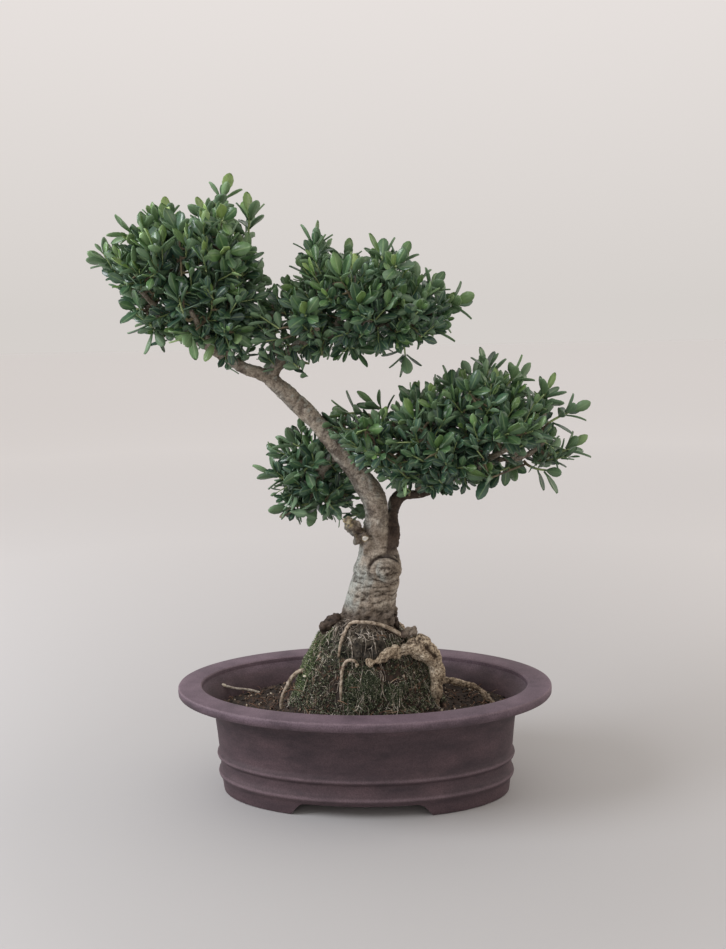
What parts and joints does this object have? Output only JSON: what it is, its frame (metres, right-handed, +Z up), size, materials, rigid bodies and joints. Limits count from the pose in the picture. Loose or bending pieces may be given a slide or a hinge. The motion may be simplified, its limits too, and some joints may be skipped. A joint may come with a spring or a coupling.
{
  "type": "potted holly bonsai",
  "caption": "Small-leaved holly bonsai with a leaning trunk, airy leaf pads and a mossy root mound, in an oval unglazed clay pot on feet.",
  "frame": {"origin": "under the middle of the whole tree's box, on the surface that the pot's feet stand on", "axes": "+Z up, X along the pot's long side with the lower right pad towards +X, -Y towards the tree's front"},
  "size_m": [0.446, 0.218, 0.5709],
  "materials": {
    "clay": "matte",
    "screen": "matte",
    "soil": "matte",
    "bark": "matte",
    "moss_bright": "matte",
    "moss_dark": "matte",
    "leaf_light": "satin",
    "leaf_mid": "satin",
    "leaf_deep": "satin"
  },
  "bodies": {
    "root": {"pot": "clay", "drain_screen_left": "screen", "drain_screen_right": "screen", "soil": "soil", "moss_left": "moss_bright", "moss_front": "moss_dark", "trunk": "bark", "spray_upper_left_01": "leaf_light", "spray_upper_left_02": "leaf_light", "spray_upper_left_03": "leaf_light", "spray_upper_left_04": "leaf_light", "spray_upper_left_05": "leaf_light", "spray_upper_left_06": "leaf_light", "spray_upper_left_07": "leaf_light", "spray_upper_left_08": "leaf_light", "spray_upper_left_09": "leaf_light", "spray_upper_left_10": "leaf_light", "spray_upper_left_11": "leaf_light", "spray_upper_left_12": "leaf_light", "spray_upper_left_13": "leaf_light", "spray_upper_left_14": "leaf_light", "spray_upper_left_15": "leaf_light", "spray_upper_right_01": "leaf_mid", "spray_upper_right_02": "leaf_mid", "spray_upper_right_03": "leaf_mid", "spray_upper_right_04": "leaf_mid", "spray_upper_right_05": "leaf_mid", "spray_upper_right_06": "leaf_mid", "spray_upper_right_07": "leaf_mid", "spray_upper_right_08": "leaf_mid", "spray_upper_right_09": "leaf_mid", "spray_upper_right_10": "leaf_mid", "spray_upper_right_11": "leaf_mid", "spray_upper_right_12": "leaf_mid", "spray_upper_right_13": "leaf_mid", "spray_upper_right_14": "leaf_mid", "spray_lower_right_01": "leaf_mid", "spray_lower_right_02": "leaf_mid", "spray_lower_right_03": "leaf_mid", "spray_lower_right_04": "leaf_mid", "spray_lower_right_05": "leaf_mid", "spray_lower_right_06": "leaf_mid", "spray_lower_right_07": "leaf_mid", "spray_lower_right_08": "leaf_mid", "spray_lower_right_09": "leaf_mid", "spray_lower_right_10": "leaf_mid", "spray_lower_right_11": "leaf_mid", "spray_lower_right_12": "leaf_mid", "spray_lower_right_13": "leaf_mid", "spray_lower_right_14": "leaf_mid", "spray_lower_right_15": "leaf_mid", "spray_lower_right_16": "leaf_mid", "spray_lower_left_01": "leaf_deep", "spray_lower_left_02": "leaf_deep", "spray_lower_left_03": "leaf_deep", "spray_lower_left_04": "leaf_deep", "spray_lower_left_05": "leaf_deep", "spray_lower_left_06": "leaf_deep"}
  },
  "joints": []
}
